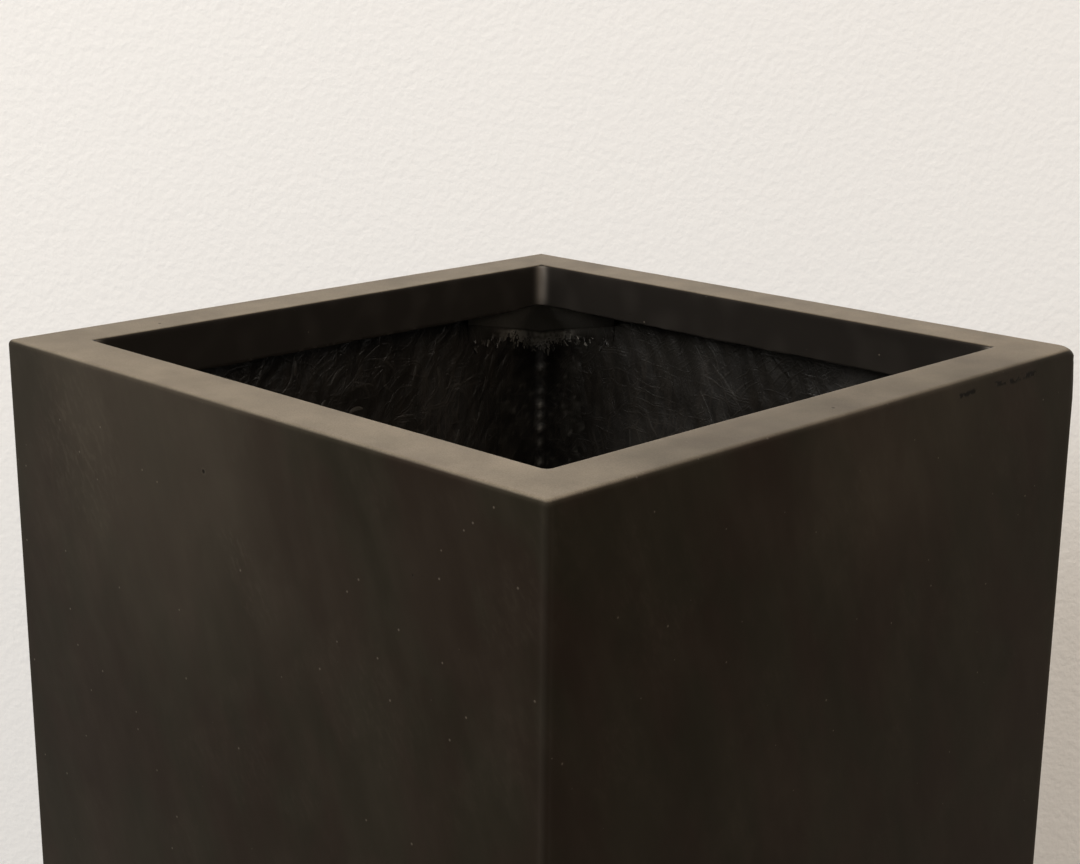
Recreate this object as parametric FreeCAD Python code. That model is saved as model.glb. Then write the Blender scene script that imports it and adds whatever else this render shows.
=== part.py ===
"""Tall square fiberglass planter, a hand-laid laminate box with a wide flat rim.

The planter is a straight-walled laminate tube with softened corners. A separately moulded rim ring
is bonded on its top: a flat flange with a short outer edge and a return lip that hangs inside the
mouth, so that the rim is hollow from below. A 90 mm strip of glass mat, laid along the diagonal,
ties lip and walls together in each corner. Mat tapes cover the rim joint, the four upright corners
and the edge of the floor. The floor panel is set in above the walls' lower edge, and has one drain
hole with a rubber plug that lifts out. Four screwed rubber feet carry the planter.

Frame: +Z up, origin on the ground under the middle of the planter, millimetres.
Front is -Y, right is +X.
"""

import FreeCAD
import Part

import math
import os

Vector = FreeCAD.Vector

# ---------------------------------------------------------------- driving dimensions
# overall
WIDTH = 400.0                # across the outer wall faces, both ways
HEIGHT = 900.0               # ground to the top of the rim

# walls
WALL = 4.5                   # laminate of the walls
CORNER_RADIUS = 2.6          # upright corners, outside
INNER_CORNER_RADIUS = 6.0    # upright corners, inside
BOTTOM_CHAMFER = 1.2         # lower outside edge of the walls
GROUND_GAP = 5.0             # ground to the lower edge of the walls

# rim ring
RIM_WIDTH = 32.0             # flange, outer face to the face of the lip
RIM_THICKNESS = 5.0          # flange
RIM_EDGE = 8.0               # height of the ring's outer edge, down to the joint with the walls
LIP_DEPTH = 27.0             # top of the rim to the lower edge of the lip
LIP_THICKNESS = 3.5
LIP_CORNER_RADIUS = 3.0      # inside corners of the mouth
RIM_OUTER_ROUND = 2.2        # top outer edge
RIM_INNER_ROUND = 1.5        # top edge of the mouth
LIP_EDGE_CHAMFER = 0.8       # lower edge of the lip, on the mouth's side
RIM_CHANNEL_COVE_WIDTH = 3.0  # under the flange, where the lip turns down

# corner gussets: a mat strip along the diagonal, from the lip to the walls and down them
GUSSET_STRIP_WIDTH = 90.0    # width of the strip, across the diagonal
GUSSET_THICKNESS = 4.0       # laminate, where it spans the hollow rim
GUSSET_CORNER_DROP = 24.0    # lip edge to the bend on the walls, in the corner
GUSSET_SIDE_DROP = 11.0      # the same, at the strip's two edges
GUSSET_SKIRT_DROP = 35.0     # lip edge to the lower end of the strip on the walls
GUSSET_SKIRT_THICKNESS = 2.0

# rim joint tapes
RIM_TAPE_THICKNESS = 1.5
RIM_TAPE_ON_WALL = 22.0      # lap below the joint
RIM_TAPE_ON_FLANGE = 14.0    # lap under the flange

# upright corner tapes
CORNER_TAPE_THICKNESS = 1.5
CORNER_TAPE_LEG = 50.0
CORNER_TAPE_COVE = 12.0      # resin-filled inside corner

# floor panel and its tapes
FLOOR_THICKNESS = 8.0
FLOOR_RECESS = 15.0          # lower edge of the walls to the underside of the floor
BOND_LINE = 0.2              # resin between the floor's edge and the walls
FLOOR_TAPE_THICKNESS = 1.5
FLOOR_TAPE_LEG = 35.0        # up the walls and over the floor
FLOOR_TAPE_COVE = 8.0        # resin fillet between floor and walls

# drain hole and plug
DRAIN_RADIUS = 12.5
PLUG_CLEARANCE = 0.3         # stem to hole, all round
PLUG_SEAT_GAP = 0.1          # flange to floor
PLUG_FLANGE_RADIUS = 18.0
PLUG_FLANGE_THICKNESS = 3.5
PLUG_STEM_BELOW_FLOOR = 6.0
PLUG_RIB_HEIGHT = 5.0        # upper sealing rib, in the hole
PLUG_GROOVE_DEPTH = 0.9      # between the ribs
PLUG_TIP_HEIGHT = 6.0        # lower rib, tapered to lead into the hole
PLUG_TIP_TAPER = 1.4
KNOB_RADIUS = 8.0            # grip on top of the plug
KNOB_HEAD_HEIGHT = 6.0
KNOB_NECK_RADIUS = 5.0
KNOB_NECK_HEIGHT = 5.0

# rubber feet, with a washer and a screw in each
FOOT_INSET = 38.0            # outer wall face to the middle of the foot
FOOT_TOP_RADIUS = 19.0
FOOT_BOTTOM_RADIUS = 17.0
FOOT_WELL_RADIUS = 9.0       # recess for washer and screw head
FOOT_WELL_DEPTH = 12.0
WASHER_RADIUS = 8.5
WASHER_THICKNESS = 1.5
SCREW_SHANK_RADIUS = 2.4
SCREW_HEAD_RADIUS = 4.6      # under the head
SCREW_HEAD_FACE_RADIUS = 3.6
SCREW_HEAD_HEIGHT = 3.0
SCREW_IN_FLOOR = 6.0         # blind, so that the floor stays tight
SCREW_CROSS_LENGTH = 5.0
SCREW_CROSS_WIDTH = 1.1
SCREW_CROSS_DEPTH = 1.6
SCREW_PILOT_CLEARANCE = 0.05
SCREW_THROUGH_CLEARANCE = 0.3

# ---------------------------------------------------------------- worked out from them
CAVITY_WIDTH = WIDTH - 2 * WALL
MOUTH_WIDTH = WIDTH - 2 * RIM_WIDTH
LIP_BACK_WIDTH = MOUTH_WIDTH + 2 * LIP_THICKNESS
LIP_BACK_RADIUS = LIP_CORNER_RADIUS + LIP_THICKNESS
SEAM_Z = HEIGHT - RIM_EDGE
FLANGE_UNDER_Z = HEIGHT - RIM_THICKNESS
LIP_Z = HEIGHT - LIP_DEPTH
GUSSET_LOW_Z = LIP_Z - GUSSET_SKIRT_DROP
FLOOR_UNDER_Z = GROUND_GAP + FLOOR_RECESS
FLOOR_TOP_Z = FLOOR_UNDER_Z + FLOOR_THICKNESS
FLOOR_TAPE_TOP_Z = FLOOR_TOP_Z + FLOOR_TAPE_LEG
FOOT_CENTRE = WIDTH / 2 - FOOT_INSET
ROOT2 = math.sqrt(2)
AXIS_Z = Vector(0, 0, 1)
OVERSHOOT = 5.0              # how far a cutting tool runs past what it cuts

# quarter turns about Z that take the back right corner, or the back side, to each place
CORNERS = {"back_right": 0, "back_left": 90, "front_left": 180, "front_right": 270}
SIDES = {"back": 0, "left": 90, "front": 180, "right": 270}


# ---------------------------------------------------------------- shared shapes
def rounded_square(width, radius, z):
    """Closed wire of a square with rounded corners, centred on the Z axis."""
    half = width / 2
    straight = half - radius
    edges = []
    for quarter in range(4):
        turn = FreeCAD.Rotation(AXIS_Z, 90 * quarter)

        def place(x, y):
            return turn.multVec(Vector(x, y, 0)) + Vector(0, 0, z)

        bend = radius * (1 - 1 / ROOT2)
        edges.append(Part.LineSegment(place(half, -straight), place(half, straight)).toShape())
        corner = Part.Arc(
            place(half, straight), place(half - bend, half - bend), place(straight, half)
        )
        edges.append(corner.toShape())
    return Part.Wire(edges)


def prism(width, radius, low, high):
    """Upright block with a rounded square section."""
    return Part.Face(rounded_square(width, radius, low)).extrude(Vector(0, 0, high - low))


def box(x, y, z):
    """Block between the limits (low, high) along each axis."""
    return Part.makeBox(x[1] - x[0], y[1] - y[0], z[1] - z[0], Vector(x[0], y[0], z[0]))


def revolved(points, x=0.0, y=0.0):
    """Solid turned about an upright axis through (x, y) from (radius, height) points."""
    outline = Part.makePolygon([Vector(r, 0, z) for r, z in points + points[:1]])
    solid = Part.Face(outline).revolve(Vector(0, 0, 0), AXIS_Z, 360)
    solid.translate(Vector(x, y, 0))
    return solid


def edges_along(shape, loop):
    """Edges of a shape that lie on a wire, such as one rim of a rounded square block."""
    found = []
    for edge in shape.Edges:
        middle = edge.valueAt((edge.FirstParameter + edge.LastParameter) / 2)
        points = [middle] + [v.Point for v in edge.Vertexes]
        if all(loop.distToShape(Part.Vertex(p))[0] < 1e-4 for p in points):
            found.append(edge)
    return found


def rounded_along(shape, radius, loop):
    """The shape with a fillet on every edge that lies on the loop."""
    return shape.makeFillet(radius, edges_along(shape, loop))


def chamfered_along(shape, width, loop):
    """The shape with a chamfer on every edge that lies on the loop."""
    return shape.makeChamfer(width, edges_along(shape, loop))


def turned(shape, degrees):
    """Copy of a shape, turned about the planter's axis."""
    copy = shape.copy()
    copy.rotate(Vector(0, 0, 0), AXIS_Z, degrees)
    return copy


def side_wedge(low, high):
    """The quarter of the planter behind its two diagonals, where the back side lies."""
    reach = WIDTH
    outline = [Vector(0, 0, low), Vector(reach, reach, low), Vector(-reach, reach, low)]
    face = Part.Face(Part.makePolygon(outline + outline[:1]))
    return face.extrude(Vector(0, 0, high - low))


# ---------------------------------------------------------------- walls and rim
def make_wall_shell():
    outside = prism(WIDTH, CORNER_RADIUS, GROUND_GAP, SEAM_Z)
    low_edge = rounded_square(WIDTH, CORNER_RADIUS, GROUND_GAP)
    outside = chamfered_along(outside, BOTTOM_CHAMFER, low_edge)
    return outside.cut(
        prism(CAVITY_WIDTH, INNER_CORNER_RADIUS, GROUND_GAP - OVERSHOOT, SEAM_Z + OVERSHOOT)
    )


def make_rim_ring():
    ring = prism(WIDTH, CORNER_RADIUS, LIP_Z, HEIGHT)
    ring = ring.cut(prism(MOUTH_WIDTH, LIP_CORNER_RADIUS, LIP_Z - OVERSHOOT, HEIGHT + OVERSHOOT))
    channel = prism(CAVITY_WIDTH, INNER_CORNER_RADIUS, LIP_Z - OVERSHOOT, FLANGE_UNDER_Z)
    channel = channel.cut(prism(LIP_BACK_WIDTH, LIP_BACK_RADIUS, LIP_Z - OVERSHOOT, HEIGHT))
    channel_turn = rounded_square(LIP_BACK_WIDTH, LIP_BACK_RADIUS, FLANGE_UNDER_Z)
    ring = ring.cut(chamfered_along(channel, RIM_CHANNEL_COVE_WIDTH, channel_turn))
    walls = prism(WIDTH + OVERSHOOT, CORNER_RADIUS, LIP_Z - OVERSHOOT, SEAM_Z)
    walls = walls.cut(prism(CAVITY_WIDTH, INNER_CORNER_RADIUS, LIP_Z - OVERSHOOT, SEAM_Z))
    ring = ring.cut(walls)
    ring = rounded_along(ring, RIM_OUTER_ROUND, rounded_square(WIDTH, CORNER_RADIUS, HEIGHT))
    mouth = rounded_square(MOUTH_WIDTH, LIP_CORNER_RADIUS, HEIGHT)
    ring = rounded_along(ring, RIM_INNER_ROUND, mouth)
    lip_edge = rounded_square(MOUTH_WIDTH, LIP_CORNER_RADIUS, LIP_Z)
    return chamfered_along(ring, LIP_EDGE_CHAMFER, lip_edge)


# ---------------------------------------------------------------- corner gussets
def gusset_arm():
    """Half of the back right gusset, on the right wall's side of the diagonal.

    The strip's own edge runs along the diagonal, so it meets the wall further from the corner than
    the lip. The sheet between lip and wall is creased once, from the walls' corner to the strip's
    edge on the lip.
    """
    wall = CAVITY_WIDTH / 2
    lip = LIP_BACK_WIDTH / 2
    reach = GUSSET_STRIP_WIDTH / ROOT2
    wall_corner = Vector(wall, wall, LIP_Z - GUSSET_CORNER_DROP)
    wall_end = Vector(wall, wall - reach, LIP_Z - GUSSET_SIDE_DROP)
    lip_corner = Vector(lip, lip, LIP_Z)
    lip_end = Vector(lip, lip - reach, LIP_Z)
    sheet = [
        Part.Face(Part.makePolygon([a, b, c, a])).extrude(Vector(0, 0, GUSSET_THICKNESS))
        for a, b, c in ((lip_corner, lip_end, wall_corner), (wall_corner, lip_end, wall_end))
    ]
    skirt_lap = Vector(0, 0, GUSSET_THICKNESS / 2)
    skirt_outline = [
        Vector(wall, wall, GUSSET_LOW_Z),
        Vector(wall, wall - reach, GUSSET_LOW_Z),
        wall_end + skirt_lap,
        wall_corner + skirt_lap,
    ]
    skirt = Part.Face(Part.makePolygon(skirt_outline + skirt_outline[:1]))
    skirt = skirt.extrude(Vector(-GUSSET_SKIRT_THICKNESS, 0, 0))
    return sheet[0].fuse([sheet[1], skirt])


def make_gusset():
    """Gusset of the back right corner, trimmed to the walls and to the rounded back of the lip."""
    arm = gusset_arm()
    other_arm = arm.mirror(Vector(0, 0, 0), Vector(1, -1, 0))
    lip = LIP_BACK_WIDTH / 2
    at_lip = (lip - LIP_BACK_RADIUS, lip)
    behind_lip = box(at_lip, at_lip, (LIP_Z, LIP_Z + GUSSET_THICKNESS))
    gusset = arm.fuse([other_arm, behind_lip])
    low = GUSSET_LOW_Z - OVERSHOOT
    gusset = gusset.common(prism(CAVITY_WIDTH, INNER_CORNER_RADIUS, low, FLANGE_UNDER_Z))
    return gusset.cut(prism(LIP_BACK_WIDTH, LIP_BACK_RADIUS, low, HEIGHT)).removeSplitter()


# ---------------------------------------------------------------- mat tapes
def make_rim_tape():
    """Back length of the tape over the rim joint: down the wall, and under the flange."""
    low = SEAM_Z - RIM_TAPE_ON_WALL
    inner_width = CAVITY_WIDTH - 2 * RIM_TAPE_THICKNESS
    inner_radius = INNER_CORNER_RADIUS
    on_wall = prism(CAVITY_WIDTH, INNER_CORNER_RADIUS, low, FLANGE_UNDER_Z)
    on_wall = on_wall.cut(prism(inner_width, inner_radius, low, FLANGE_UNDER_Z))
    under_z = FLANGE_UNDER_Z - RIM_TAPE_THICKNESS
    lap_width = CAVITY_WIDTH - 2 * RIM_TAPE_ON_FLANGE
    under_flange = prism(CAVITY_WIDTH, INNER_CORNER_RADIUS, under_z, FLANGE_UNDER_Z)
    under_flange = under_flange.cut(prism(lap_width, inner_radius, under_z, FLANGE_UNDER_Z))
    ring = on_wall.fuse(under_flange).removeSplitter()
    return ring.common(side_wedge(low, FLANGE_UNDER_Z))


def make_corner_tape():
    """Tape of the back right upright corner, from the floor tape to the gusset."""
    ring = prism(CAVITY_WIDTH, INNER_CORNER_RADIUS, FLOOR_TAPE_TOP_Z, GUSSET_LOW_Z)
    inner_width = CAVITY_WIDTH - 2 * CORNER_TAPE_THICKNESS
    ring = ring.cut(prism(inner_width, CORNER_TAPE_COVE, FLOOR_TAPE_TOP_Z, GUSSET_LOW_Z))
    reach = (CAVITY_WIDTH / 2 - CORNER_TAPE_LEG, WIDTH)
    return ring.common(box(reach, reach, (FLOOR_TAPE_TOP_Z, GUSSET_LOW_Z)))


def make_floor_tape():
    """Back length of the tape between floor and walls, with its resin cove."""
    low_z = FLOOR_TOP_Z + FLOOR_TAPE_THICKNESS
    inner_width = CAVITY_WIDTH - 2 * FLOOR_TAPE_THICKNESS
    tape = prism(CAVITY_WIDTH, INNER_CORNER_RADIUS, FLOOR_TOP_Z, FLOOR_TAPE_TOP_Z)
    tape = tape.cut(prism(inner_width, CORNER_TAPE_COVE, low_z, FLOOR_TAPE_TOP_Z))
    cove = rounded_square(inner_width, CORNER_TAPE_COVE, low_z)
    tape = chamfered_along(tape, FLOOR_TAPE_COVE, cove)
    open_width = CAVITY_WIDTH - 2 * FLOOR_TAPE_LEG
    tape = tape.cut(prism(open_width, INNER_CORNER_RADIUS, FLOOR_TOP_Z - OVERSHOOT, low_z))
    return tape.common(side_wedge(FLOOR_TOP_Z, FLOOR_TAPE_TOP_Z))


# ---------------------------------------------------------------- floor, plug and feet
def foot_places():
    return [(x * FOOT_CENTRE, y * FOOT_CENTRE) for x in (-1, 1) for y in (-1, 1)]


def make_floor_panel():
    panel_radius = INNER_CORNER_RADIUS - BOND_LINE
    panel = prism(CAVITY_WIDTH - 2 * BOND_LINE, panel_radius, FLOOR_UNDER_Z, FLOOR_TOP_Z)
    hole = Part.makeCylinder(
        DRAIN_RADIUS, FLOOR_THICKNESS + 2 * OVERSHOOT, Vector(0, 0, FLOOR_UNDER_Z - OVERSHOOT)
    )
    panel = panel.cut(hole)
    for x, y in foot_places():
        pilot = Part.makeCylinder(
            SCREW_SHANK_RADIUS + SCREW_PILOT_CLEARANCE,
            SCREW_IN_FLOOR + SCREW_PILOT_CLEARANCE,
            Vector(x, y, FLOOR_UNDER_Z),
        )
        panel = panel.cut(pilot)
    return panel


def make_drain_plug():
    """Moulded rubber plug: grip knob, flange on the floor, stem with two sealing ribs."""
    seat = FLOOR_TOP_Z + PLUG_SEAT_GAP
    top = seat + PLUG_FLANGE_THICKNESS
    neck_top = top + KNOB_NECK_HEIGHT
    knob_top = neck_top + KNOB_HEAD_HEIGHT
    end = FLOOR_UNDER_Z - PLUG_STEM_BELOW_FLOOR
    rib = DRAIN_RADIUS - PLUG_CLEARANCE
    groove = rib - PLUG_GROOVE_DEPTH
    outline = [
        (0, knob_top),
        (KNOB_RADIUS, knob_top),
        (KNOB_RADIUS, neck_top),
        (KNOB_NECK_RADIUS, neck_top),
        (KNOB_NECK_RADIUS, top),
        (PLUG_FLANGE_RADIUS, top),
        (PLUG_FLANGE_RADIUS, seat),
        (rib, seat),
        (rib, seat - PLUG_RIB_HEIGHT),
        (groove, seat - PLUG_RIB_HEIGHT),
        (groove, end + PLUG_TIP_HEIGHT),
        (rib, end + PLUG_TIP_HEIGHT),
        (rib - PLUG_TIP_TAPER, end),
        (0, end),
    ]
    return revolved(outline)


def make_foot(x, y):
    """Tapered rubber foot with a well for the washer and the screw head."""
    through = SCREW_SHANK_RADIUS + SCREW_THROUGH_CLEARANCE
    outline = [
        (through, FLOOR_UNDER_Z),
        (FOOT_TOP_RADIUS, FLOOR_UNDER_Z),
        (FOOT_BOTTOM_RADIUS, 0),
        (FOOT_WELL_RADIUS, 0),
        (FOOT_WELL_RADIUS, FOOT_WELL_DEPTH),
        (through, FOOT_WELL_DEPTH),
    ]
    return revolved(outline, x, y)


def make_washer(x, y):
    hole = SCREW_SHANK_RADIUS + SCREW_THROUGH_CLEARANCE
    low = FOOT_WELL_DEPTH - WASHER_THICKNESS
    outline = [(hole, low), (WASHER_RADIUS, low), (WASHER_RADIUS, FOOT_WELL_DEPTH)]
    return revolved(outline + [(hole, FOOT_WELL_DEPTH)], x, y)


def make_screw(x, y):
    """Pan-head screw with a cross recess, up through washer and foot into the floor panel."""
    under_head = FOOT_WELL_DEPTH - WASHER_THICKNESS
    low = under_head - SCREW_HEAD_HEIGHT
    tip = FLOOR_UNDER_Z + SCREW_IN_FLOOR
    outline = [
        (0, low),
        (SCREW_HEAD_FACE_RADIUS, low),
        (SCREW_HEAD_RADIUS, under_head),
        (SCREW_SHANK_RADIUS, under_head),
        (SCREW_SHANK_RADIUS, tip),
        (0, tip),
    ]
    screw = revolved(outline, x, y)
    half = SCREW_CROSS_LENGTH / 2
    width = SCREW_CROSS_WIDTH / 2
    depth = (low - OVERSHOOT, low + SCREW_CROSS_DEPTH)
    screw = screw.cut(box((x - half, x + half), (y - width, y + width), depth))
    return screw.cut(box((x - width, x + width), (y - half, y + half), depth))


# ---------------------------------------------------------------- write the pieces
def save(name, shape):
    assert shape.isValid(), name
    shape.exportStep(os.path.join("parts", name + ".step"))
    extent = shape.BoundBox
    print(f"{name}: {len(shape.Solids)} solid, {shape.Volume / 1000:.1f} cm3, "
          f"z {extent.ZMin:.1f} to {extent.ZMax:.1f}")


def main():
    os.makedirs("parts", exist_ok=True)
    save("wall_shell", make_wall_shell())
    save("rim_ring", make_rim_ring())
    gusset = make_gusset()
    corner_tape = make_corner_tape()
    for corner, degrees in CORNERS.items():
        save("corner_gusset_" + corner, turned(gusset, degrees))
        save("corner_tape_" + corner, turned(corner_tape, degrees))
    rim_tape = make_rim_tape()
    floor_tape = make_floor_tape()
    for side, degrees in SIDES.items():
        save("rim_joint_tape_" + side, turned(rim_tape, degrees))
        save("floor_tape_" + side, turned(floor_tape, degrees))
    save("floor_panel", make_floor_panel())
    save("drain_plug", make_drain_plug())
    for name, make in (("feet", make_foot), ("foot_washers", make_washer), ("foot_screws", make_screw)):
        save(name, Part.makeCompound([make(x, y) for x, y in foot_places()]))


main()
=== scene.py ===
"""Looks of a tall square fiberglass planter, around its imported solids. Metres, +Z up."""

import math
import random

import bmesh
import bpy
from mathutils import Matrix, Vector, noise


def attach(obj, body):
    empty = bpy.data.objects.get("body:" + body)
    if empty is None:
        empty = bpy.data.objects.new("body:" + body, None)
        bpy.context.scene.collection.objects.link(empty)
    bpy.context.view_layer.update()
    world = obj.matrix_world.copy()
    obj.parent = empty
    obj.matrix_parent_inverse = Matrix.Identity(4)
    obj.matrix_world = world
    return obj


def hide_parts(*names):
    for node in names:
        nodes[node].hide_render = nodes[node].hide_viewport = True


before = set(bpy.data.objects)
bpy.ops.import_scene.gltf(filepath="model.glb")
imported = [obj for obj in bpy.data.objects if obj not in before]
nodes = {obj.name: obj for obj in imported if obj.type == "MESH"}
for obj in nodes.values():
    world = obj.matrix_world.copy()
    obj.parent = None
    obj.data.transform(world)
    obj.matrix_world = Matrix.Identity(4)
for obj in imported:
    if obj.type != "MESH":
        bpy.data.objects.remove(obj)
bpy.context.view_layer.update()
scene = bpy.context.scene

# ---------------------------------------------------------------- camera
# It stands off the planter's front right corner, a little above the rim, and looks down on it by
# 15 degrees, turned so that the two near walls show alike.
CAMERA_PLACE = Vector((0.6832, -0.6934, 1.1133))
CAMERA_RIGHT = Vector((0.70967, 0.70448, 0.00845))
CAMERA_UP = Vector((-0.18891, 0.17871, 0.96560))
CAMERA_BACK = Vector((0.67874, -0.68686, 0.25991))

camera = bpy.data.objects.new("camera", bpy.data.cameras.new("camera"))
camera.data.sensor_width = 36.0
camera.data.lens = 62.92
camera_turn = Matrix((CAMERA_RIGHT, CAMERA_UP, CAMERA_BACK)).transposed()
camera.matrix_world = Matrix.Translation(CAMERA_PLACE) @ camera_turn.to_4x4()
scene.collection.objects.link(camera)
scene.camera = camera
scene.view_settings.view_transform = "Standard"


# ---------------------------------------------------------------- stage and light
# A pale plastered wall close behind the planter and a pale floor under it. The wall shows its
# front only, so that the planter can be looked at from behind, and it has a little brightness of
# its own as a backdrop; low on the right that brightness is less and warmer, a painted shadow of the
# planter. Of five soft lamps one stands close to the left of the camera, one hangs overhead, two weak
# ones fill from either side, and one behind the wall lights the planter's back.
WALL_PAINT = (0.92, 0.887, 0.842)
WALL_BRIGHT = (1.0, 0.985, 0.963)
WALL_LIFT = 0.51             # share of its own brightness in what is seen of the wall
SHADED = 0.30                # how much of that share is lost low on the right, behind the planter
SHADE_TINT = (1.0, 0.93, 0.84)    # and what the wall takes on there
SHADE_ACROSS = (0.30, 0.40)  # how far to the right the shade begins and is full
SHADE_DOWN = (0.88, 0.60)    # and at what heights
WALL_BEHIND = 0.36           # from the planter's axis
FLOOR_PALE = (0.66, 0.62, 0.57)   # what is seen of the floor, which throws less light back up
FLOOR_PAINT = (0.28, 0.25, 0.215)
FLOOR_LIFT = 0.40            # share of its own brightness in what is seen of the floor


def add(tree, kind, inputs=None, **settings):
    """A new node. A socket given as an input is linked, and anything else is its value."""
    made = tree.nodes.new(kind)
    for key, value in settings.items():
        setattr(made, key, value)
    for key, value in (inputs or {}).items():
        if isinstance(value, bpy.types.NodeSocket):
            tree.links.new(value, made.inputs[key])
        else:
            made.inputs[key].default_value = value
    return made


def maths(tree, operation, a, b=0.0, c=0.0, clamp=False):
    """Result of a sum with two numbers, or with three where it is a * b + c."""
    made = add(tree, "ShaderNodeMath", {0: a, 1: b, 2: c}, operation=operation, use_clamp=clamp)
    return made.outputs[0]


def vector_maths(tree, operation, a, b):
    return add(tree, "ShaderNodeVectorMath", {0: a, 1: b}, operation=operation).outputs


def between(tree, value, low, high, to_low=0.0, to_high=1.0):
    """Smooth step of a value from low to high."""
    return add(tree, "ShaderNodeMapRange", {
        "Value": value, "From Min": low, "From Max": high, "To Min": to_low, "To Max": to_high,
    }, interpolation_type="SMOOTHSTEP").outputs["Result"]


def mottle(tree, place, scale, detail, roughness=0.5):
    """Noise through a finish, about 0.5."""
    return add(tree, "ShaderNodeTexNoise", {
        "Vector": place, "Scale": scale, "Detail": detail, "Roughness": roughness,
    }).outputs["Fac"]


def tinted(tree, mask, under, over):
    """Colour of one layer over another, through a mask. Either may be a colour or a socket."""
    under, over = (c if isinstance(c, bpy.types.NodeSocket) else (*c, 1) for c in (under, over))
    return add(tree, "ShaderNodeMix", {"Factor": mask, 6: under, 7: over}, data_type="RGBA").outputs[2]


def finish(name):
    """A new material, its empty node tree and its output node."""
    material = bpy.data.materials.new(name)
    material.use_nodes = True
    tree = material.node_tree
    tree.nodes.clear()
    return material, tree, tree.nodes.new("ShaderNodeOutputMaterial")


def paint_coat(tree, colour):
    """Flat wall paint, with the small bumps that a roller leaves."""
    place = add(tree, "ShaderNodeTexCoord").outputs["Object"]
    stipple = mottle(tree, place, 190.0, 2.0)
    rough = add(tree, "ShaderNodeBump", {"Height": stipple, "Strength": 0.45, "Distance": 0.002})
    return add(tree, "ShaderNodeBsdfPrincipled", {
        "Base Color": (*colour, 1), "Roughness": 0.9, "Specular IOR Level": 0.1,
        "Normal": rough.outputs["Normal"],
    }).outputs["BSDF"]


def seen_directly(tree):
    """1 for what is seen itself, in a mirror or through glass, and 0 for light on its way."""
    ray = add(tree, "ShaderNodeLightPath").outputs
    mirrored = maths(tree, "ADD", ray["Is Glossy Ray"], ray["Is Transmission Ray"])
    return maths(tree, "ADD", ray["Is Camera Ray"], mirrored, clamp=True)


def stage_piece(name, size, place, material):
    bm = bmesh.new()
    bmesh.ops.create_grid(bm, x_segments=1, y_segments=1, size=size)
    bmesh.ops.transform(bm, matrix=place, verts=bm.verts)
    mesh = bpy.data.meshes.new(name)
    bm.to_mesh(mesh)
    bm.free()
    mesh.materials.append(material)
    made = bpy.data.objects.new(name, mesh)
    scene.collection.objects.link(made)


def soft_lamp(name, place, target, size, watts, colour):
    lamp = bpy.data.lights.new(name, "AREA")
    lamp.size = size
    lamp.energy = watts
    lamp.color = colour
    thing = bpy.data.objects.new(name, lamp)
    thing.location = place
    thing.rotation_euler = (Vector(target) - Vector(place)).to_track_quat("-Z", "Y").to_euler()
    scene.collection.objects.link(thing)


floor_paint, tree, output = finish("studio_floor")
lifted_floor = add(tree, "ShaderNodeMixShader", {
    0: FLOOR_LIFT,
    1: paint_coat(tree, FLOOR_PALE),
    2: add(tree, "ShaderNodeEmission", {"Color": (*FLOOR_PALE, 1), "Strength": 1.0}).outputs["Emission"],
})
pale_floor = add(tree, "ShaderNodeMixShader", {
    0: seen_directly(tree),
    1: paint_coat(tree, FLOOR_PAINT),
    2: lifted_floor.outputs["Shader"],
})
tree.links.new(pale_floor.outputs["Shader"], output.inputs["Surface"])
stage_piece("studio_floor", 20.0, Matrix.Identity(4), floor_paint)

wall_paint, tree, output = finish("studio_wall")
away = Vector((-CAMERA_BACK.x, -CAMERA_BACK.y, 0)).normalized()
across = away.cross(Vector((0, 0, 1)))
place = add(tree, "ShaderNodeTexCoord").outputs["Object"]
sideways = vector_maths(tree, "DOT_PRODUCT", place, across)["Value"]
height = add(tree, "ShaderNodeSeparateXYZ", {"Vector": place}).outputs["Z"]
# painted shadow of the planter, low on the right of the wall
to_the_right = between(tree, sideways, *SHADE_ACROSS)
shade = maths(tree, "MULTIPLY", to_the_right, between(tree, height, *SHADE_DOWN))
lift = maths(tree, "MULTIPLY_ADD", shade, -SHADED, WALL_LIFT)
glow = tinted(tree, shade, WALL_BRIGHT, SHADE_TINT)
backdrop = add(tree, "ShaderNodeMixShader", {
    0: maths(tree, "MULTIPLY", seen_directly(tree), lift),
    1: paint_coat(tree, WALL_PAINT),
    2: add(tree, "ShaderNodeEmission", {"Color": glow, "Strength": 1.0}).outputs["Emission"],
})
backfacing = add(tree, "ShaderNodeNewGeometry").outputs["Backfacing"]
shadow_ray = add(tree, "ShaderNodeLightPath").outputs["Is Shadow Ray"]
one_sided = add(tree, "ShaderNodeMixShader", {
    0: maths(tree, "MAXIMUM", backfacing, shadow_ray),
    1: backdrop.outputs["Shader"],
    2: add(tree, "ShaderNodeBsdfTransparent").outputs["BSDF"],
})
tree.links.new(one_sided.outputs["Shader"], output.inputs["Surface"])
wall_turn = Matrix((across, Vector((0, 0, 1)), -away)).transposed()
stage_piece("studio_wall", 3.0, Matrix.Translation(away * WALL_BEHIND) @ wall_turn.to_4x4(), wall_paint)

soft_lamp("window_lamp", (-0.45, -1.35, 1.85), (0, 0, 0.85), 1.0, 20, (1.0, 0.965, 0.92))
soft_lamp("ceiling_lamp", (0.1, -0.5, 2.9), (0, 0, 0.6), 1.8, 24, (1.0, 0.95, 0.89))
soft_lamp("side_lamp", (-2.0, -1.6, 1.4), (0, 0, 0.8), 1.5, 3, (1.0, 0.95, 0.88))
soft_lamp("fill_lamp", (1.1, 0.30, 1.75), (0, 0, 0.85), 0.9, 6.4, (1.0, 0.83, 0.67))
soft_lamp("back_lamp", (-1.5, 1.9, 0.7), (0, 0, 0.5), 1.2, 16, (1.0, 0.94, 0.87))

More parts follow.
